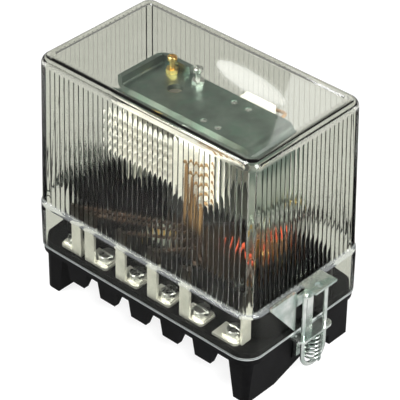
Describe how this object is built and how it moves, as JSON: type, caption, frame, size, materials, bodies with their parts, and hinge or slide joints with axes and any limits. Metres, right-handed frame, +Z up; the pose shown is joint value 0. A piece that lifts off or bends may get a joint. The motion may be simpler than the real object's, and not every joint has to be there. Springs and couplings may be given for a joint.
{
  "type": "intermediate relay",
  "caption": "Intermediate relay: clear fluted cover over an armature magnet and contact springs, on a black moulded base with screw lugs and spring latches at both ends.",
  "frame": {"origin": "middle of the feet, on the surface the relay stands on", "axes": "+X along the relay's length, +Z up through the cover's top, +Y across it"},
  "size_m": [0.145, 0.075, 0.1233],
  "materials": {
    "clear_cover": "clear moulded plastic, finely fluted walls",
    "black_phenolic": "moulded, satin",
    "tinned_brass": "tinned",
    "nickel_plate": "nickel plated",
    "dark_zinc": "dull greenish zinc",
    "soft_iron": "plated iron",
    "brass": "turned",
    "black_bobbin": "moulded",
    "dark_winding": "wrapped in dark tape",
    "brown_board": "laminate",
    "red_sleeve": "sleeved wire",
    "brown_sleeve": "varnished sleeve",
    "white_card": "moulded",
    "white_ceramic": "moulded, white",
    "spring_steel": "drawn wire",
    "contact_silver": "silver",
    "nickel_silver": "rolled strip",
    "bright_zinc": "bright zinc with a green cast",
    "latch_spring_steel": "zinc plated wire"
  },
  "bodies": {
    "relay": {"cover": "clear_cover", "base": "black_phenolic", "terminal_lug_1": "tinned_brass", "terminal_lug_2": "tinned_brass", "terminal_lug_3": "tinned_brass", "terminal_lug_4": "tinned_brass", "terminal_lug_5": "tinned_brass", "terminal_lug_6": "tinned_brass", "terminal_lug_7": "tinned_brass", "terminal_lug_8": "tinned_brass", "terminal_lug_9": "tinned_brass", "terminal_lug_10": "tinned_brass", "terminal_lug_11": "tinned_brass", "terminal_lug_12": "tinned_brass", "terminal_screws": "nickel_plate", "terminal_washers": "tinned_brass", "frame": "dark_zinc", "frame_screws": "brass", "core": "soft_iron", "bobbin": "black_bobbin", "winding": "dark_winding", "tag_board": "brown_board", "coil_tags": "brass", "coil_leads": "red_sleeve", "hinge_pin": "brass", "return_spring": "spring_steel", "spring_screw": "nickel_plate", "spring_nut": "nickel_plate", "stop_screw": "brass", "stop_nut": "brass", "front_spacers": "white_ceramic", "rear_spacers": "white_ceramic", "stack_screws": "nickel_plate", "front_spring_1": "nickel_silver", "front_spring_2": "nickel_silver", "front_spring_3": "nickel_silver", "front_spring_4": "nickel_silver", "front_spring_5": "nickel_silver", "rear_spring_1": "nickel_silver", "rear_spring_2": "nickel_silver", "rear_spring_3": "nickel_silver", "rear_spring_4": "nickel_silver", "rear_spring_5": "nickel_silver", "fixed_contacts": "contact_silver", "front_leads": "brown_sleeve", "rear_leads": "brown_sleeve", "right_bracket": "bright_zinc", "left_bracket": "bright_zinc", "bracket_screws": "nickel_plate", "right_latch_spring": "latch_spring_steel", "left_latch_spring": "latch_spring_steel"},
    "armature": {"armature": "soft_iron", "card": "white_card", "card_screws": "nickel_plate", "moving_contacts": "contact_silver"},
    "right_bail": {"right_bail": "bright_zinc"},
    "right_hook": {"right_hook": "bright_zinc"},
    "left_bail": {"left_bail": "bright_zinc"},
    "left_hook": {"left_hook": "bright_zinc"}
  },
  "joints": [
    {"name": "armature_hinge", "type": "hinge", "parent": "relay", "child": "armature", "pos_m": [0.0445, 0, 0.07345], "axis": [0, 1, 0], "range_deg": [-1.6, 0], "stiffness_Nm_per_rad": 0.4, "springref_deg": 14.32, "deforming": ["return_spring", "front_spring_2", "front_spring_4", "rear_spring_2", "rear_spring_4"]},
    {"name": "right_bail_slide", "type": "slide", "parent": "relay", "child": "right_bail", "axis": [0, 0, 1], "range_m": [0, 0.0025], "stiffness_N_per_m": 800, "springref_m": -0.006, "deforming": ["right_latch_spring"]},
    {"name": "right_hook_hinge", "type": "hinge", "parent": "right_bail", "child": "right_hook", "pos_m": [0.068, 0, 0.0473], "axis": [0, 1, 0], "range_deg": [0, 75]},
    {"name": "left_bail_slide", "type": "slide", "parent": "relay", "child": "left_bail", "axis": [0, 0, 1], "range_m": [0, 0.0025], "stiffness_N_per_m": 800, "springref_m": -0.006, "deforming": ["left_latch_spring"]},
    {"name": "left_hook_hinge", "type": "hinge", "parent": "left_bail", "child": "left_hook", "pos_m": [-0.068, 0, 0.0473], "axis": [0, -1, 0], "range_deg": [0, 75]}
  ]
}
